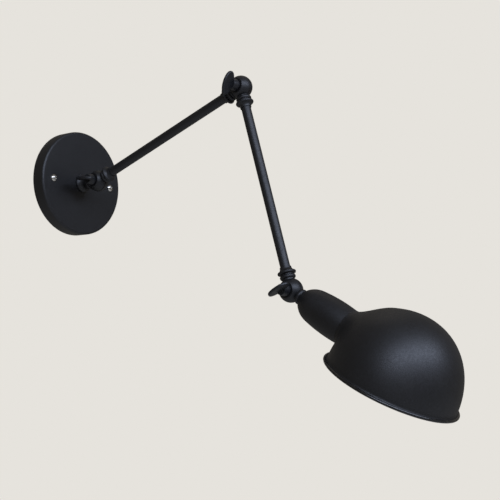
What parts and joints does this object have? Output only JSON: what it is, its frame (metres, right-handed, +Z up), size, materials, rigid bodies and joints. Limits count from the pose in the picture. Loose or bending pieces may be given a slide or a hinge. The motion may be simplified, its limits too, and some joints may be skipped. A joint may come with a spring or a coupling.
{
  "type": "swing-arm wall lamp",
  "caption": "Wall lamp with two round arms, three clamped knuckles with wing screws, a round wall plate and a domed side-mounted metal shade.",
  "frame": {"origin": "centre of the wall plate's back, on the wall", "axes": "+Y into the wall, so that the lamp reaches out along -Y; +X to the right seen from the room, along every knuckle's axis; +Z up"},
  "size_m": [0.13, 0.4815, 0.3424],
  "materials": {
    "black_paint": "matt blue-black powder paint",
    "zinc_steel": "zinc-plated steel",
    "dark_steel": "blackened steel",
    "bright_screws": "bright nickel plate",
    "fibre": "dry vulcanised fibre",
    "phenolic": "moulded phenolic resin",
    "brass_shell": "bright rolled brass"
  },
  "bodies": {
    "wall_plate": {"crossbar": "zinc_steel", "canopy": "black_paint", "canopy_screws": "bright_screws", "canopy_nipple": "zinc_steel", "canopy_washer": "zinc_steel", "canopy_nut": "zinc_steel", "canopy_collar": "black_paint", "base_knuckle": "black_paint", "base_friction_washer": "fibre", "base_clamp_washer": "dark_steel"},
    "inner_arm": {"inner_arm_rear_knuckle": "black_paint", "inner_arm_rear_collar": "black_paint", "inner_arm_tube": "black_paint", "inner_arm_front_collar": "black_paint", "inner_arm_front_knuckle": "black_paint", "elbow_friction_washer": "fibre", "elbow_clamp_washer": "dark_steel"},
    "outer_arm": {"outer_arm_rear_knuckle": "black_paint", "outer_arm_rear_collar": "black_paint", "outer_arm_tube": "black_paint", "outer_arm_front_collar": "black_paint", "outer_arm_front_knuckle": "black_paint", "head_friction_washer": "fibre", "head_clamp_washer": "dark_steel"},
    "head": {"head_knuckle": "black_paint", "head_nipple": "zinc_steel", "cup_washer": "zinc_steel", "cup_nut": "zinc_steel", "socket_cup": "black_paint", "holder_cap": "phenolic", "holder_body": "phenolic", "thread_shell": "brass_shell", "centre_contact": "brass_shell", "shade_ring": "phenolic", "shade": "black_paint"},
    "base_wing": {"base_wing_screw": "black_paint"},
    "elbow_wing": {"elbow_wing_screw": "black_paint"},
    "head_wing": {"head_wing_screw": "black_paint"}
  },
  "joints": [
    {"name": "base_tilt", "type": "hinge", "parent": "wall_plate", "child": "inner_arm", "pos_m": [0, -0.0418, 0], "axis": [1, 0, 0], "range_deg": [-60, 60]},
    {"name": "elbow_tilt", "type": "hinge", "parent": "inner_arm", "child": "outer_arm", "pos_m": [0, -0.24853, 0.07524], "axis": [1, 0, 0], "range_deg": [-150, 14]},
    {"name": "head_tilt", "type": "hinge", "parent": "outer_arm", "child": "head", "pos_m": [0, -0.30991, -0.13602], "axis": [1, 0, 0], "range_deg": [-60, 120]},
    {"name": "base_wing_turn", "type": "hinge", "parent": "wall_plate", "child": "base_wing", "pos_m": [0, -0.0418, 0], "axis": [-1, 0, 0], "range_deg": [0, 270]},
    {"name": "elbow_wing_turn", "type": "hinge", "parent": "outer_arm", "child": "elbow_wing", "pos_m": [0, -0.24853, 0.07524], "axis": [-1, 0, 0], "range_deg": [0, 270]},
    {"name": "head_wing_turn", "type": "hinge", "parent": "head", "child": "head_wing", "pos_m": [0, -0.30991, -0.13602], "axis": [-1, 0, 0], "range_deg": [0, 270]}
  ]
}
